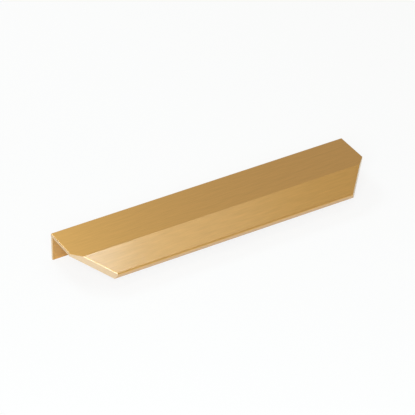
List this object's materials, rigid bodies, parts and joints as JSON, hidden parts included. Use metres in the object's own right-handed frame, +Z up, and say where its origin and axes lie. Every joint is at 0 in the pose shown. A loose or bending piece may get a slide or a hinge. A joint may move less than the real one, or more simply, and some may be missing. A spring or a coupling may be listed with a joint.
{
  "type": "profile handle",
  "caption": "Brushed brass-coloured profile handle for the top edge of a drawer front: screw flange behind, flat plate over the edge, thick sloping pull lip with mitred ends.",
  "frame": {"origin": "midway between the two screw holes, on the flange's inner face, which bears on the back of the drawer front", "axes": "+X along the handle, -Y out of the drawer front towards the hand, +Z up"},
  "size_m": [0.2, 0.0449, 0.0185],
  "materials": {
    "brushed_brass": "brass-coloured, finely brushed along the length, satin"
  },
  "bodies": {
    "root": {"profile_handle": "brushed_brass"}
  },
  "joints": []
}
